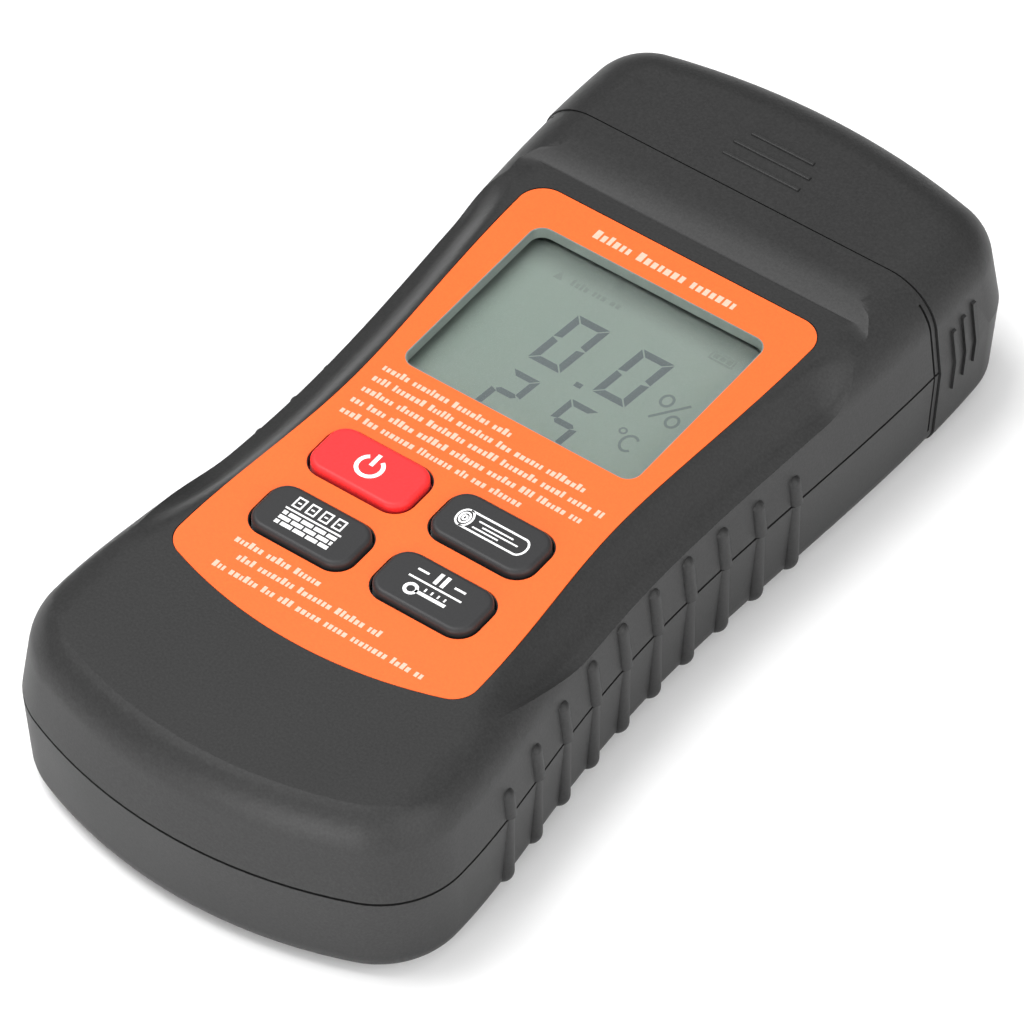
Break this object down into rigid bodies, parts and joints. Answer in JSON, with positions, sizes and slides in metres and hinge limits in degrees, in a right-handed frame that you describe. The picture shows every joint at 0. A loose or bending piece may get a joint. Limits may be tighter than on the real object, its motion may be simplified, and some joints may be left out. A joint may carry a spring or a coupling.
{
  "type": "moisture meter",
  "caption": "Hand-held two-pin moisture meter: waisted two-shell case with grip ribs, recessed display, keypad, battery door and a pull-off cap over its needle pins.",
  "frame": {"origin": "centre of the footprint, on the rear face that the meter lies on", "axes": "+X across the meter, +Y from the tail to the pin cap, +Z out of the display side"},
  "size_m": [0.0698, 0.1536, 0.0309],
  "materials": {
    "case_plastic": "fine spark-eroded texture",
    "label_film": "satin printed film",
    "clear_window": "clear acrylic",
    "display_glass": "satin polariser",
    "inner_plastic": "smooth moulded",
    "white_plastic": "satin",
    "contact_rubber": "matt",
    "board_laminate": "solder mask",
    "key_rubber_black": "matt",
    "key_rubber_red": "matt",
    "steel": "plated",
    "tin_can": "satin",
    "chip_plastic": "moulded",
    "brass": "turned",
    "battery_jacket": "printed steel jacket",
    "wire_red": "insulation",
    "wire_black": "insulation",
    "foam": "closed-cell foam"
  },
  "bodies": {
    "root": {"front_shell": "case_plastic", "rear_shell": "case_plastic", "front_label": "label_film", "lcd_lens": "clear_window", "lcd_glass": "display_glass", "lcd_frame": "inner_plastic", "lcd_reflector": "white_plastic", "zebra_strips": "contact_rubber", "main_board": "board_laminate", "key_mat": "key_rubber_black", "board_screws": "steel", "microcontroller": "chip_plastic", "crystal": "tin_can", "capacitor": "tin_can", "buzzer": "chip_plastic", "thermistor": "chip_plastic", "chip_passives": "chip_plastic", "left_pin_socket": "brass", "left_pin": "steel", "right_pin_socket": "brass", "right_pin": "steel", "probe_block": "inner_plastic", "battery": "battery_jacket", "battery_terminals": "tin_can", "battery_snap": "inner_plastic", "left_pin_lead": "wire_black", "right_pin_lead": "wire_red", "battery_plus_lead": "wire_red", "battery_minus_lead": "wire_black", "case_screws": "steel"},
    "cap": {"protective_cap": "case_plastic"},
    "door": {"battery_door": "case_plastic", "door_pad": "foam"},
    "power_key": {"power_key": "key_rubber_red", "power_key_pill": "contact_rubber", "power_key_skirt": "key_rubber_red"},
    "wood_key": {"wood_key": "key_rubber_black", "wood_key_pill": "contact_rubber", "wood_key_skirt": "key_rubber_black"},
    "masonry_key": {"masonry_key": "key_rubber_black", "masonry_key_pill": "contact_rubber", "masonry_key_skirt": "key_rubber_black"},
    "hold_key": {"hold_key": "key_rubber_black", "hold_key_pill": "contact_rubber", "hold_key_skirt": "key_rubber_black"}
  },
  "joints": [
    {"name": "cap_pull", "type": "slide", "parent": "root", "child": "cap", "axis": [0, 1, 0], "range_m": [0, 0.045]},
    {"name": "door_hinge", "type": "hinge", "parent": "root", "child": "door", "pos_m": [0, -0.013, 0], "axis": [1, 0, 0], "range_deg": [0, 75]},
    {"name": "power_key_press", "type": "slide", "parent": "root", "child": "power_key", "axis": [0, 0, -1], "range_m": [0, 0.0008], "stiffness_N_per_m": 1200, "springref_m": -0.0004, "deforming": ["power_key_skirt"]},
    {"name": "wood_key_press", "type": "slide", "parent": "root", "child": "wood_key", "axis": [0, 0, -1], "range_m": [0, 0.0008], "stiffness_N_per_m": 1200, "springref_m": -0.0004, "deforming": ["wood_key_skirt"]},
    {"name": "masonry_key_press", "type": "slide", "parent": "root", "child": "masonry_key", "axis": [0, 0, -1], "range_m": [0, 0.0008], "stiffness_N_per_m": 1200, "springref_m": -0.0004, "deforming": ["masonry_key_skirt"]},
    {"name": "hold_key_press", "type": "slide", "parent": "root", "child": "hold_key", "axis": [0, 0, -1], "range_m": [0, 0.0008], "stiffness_N_per_m": 1200, "springref_m": -0.0004, "deforming": ["hold_key_skirt"]}
  ]
}
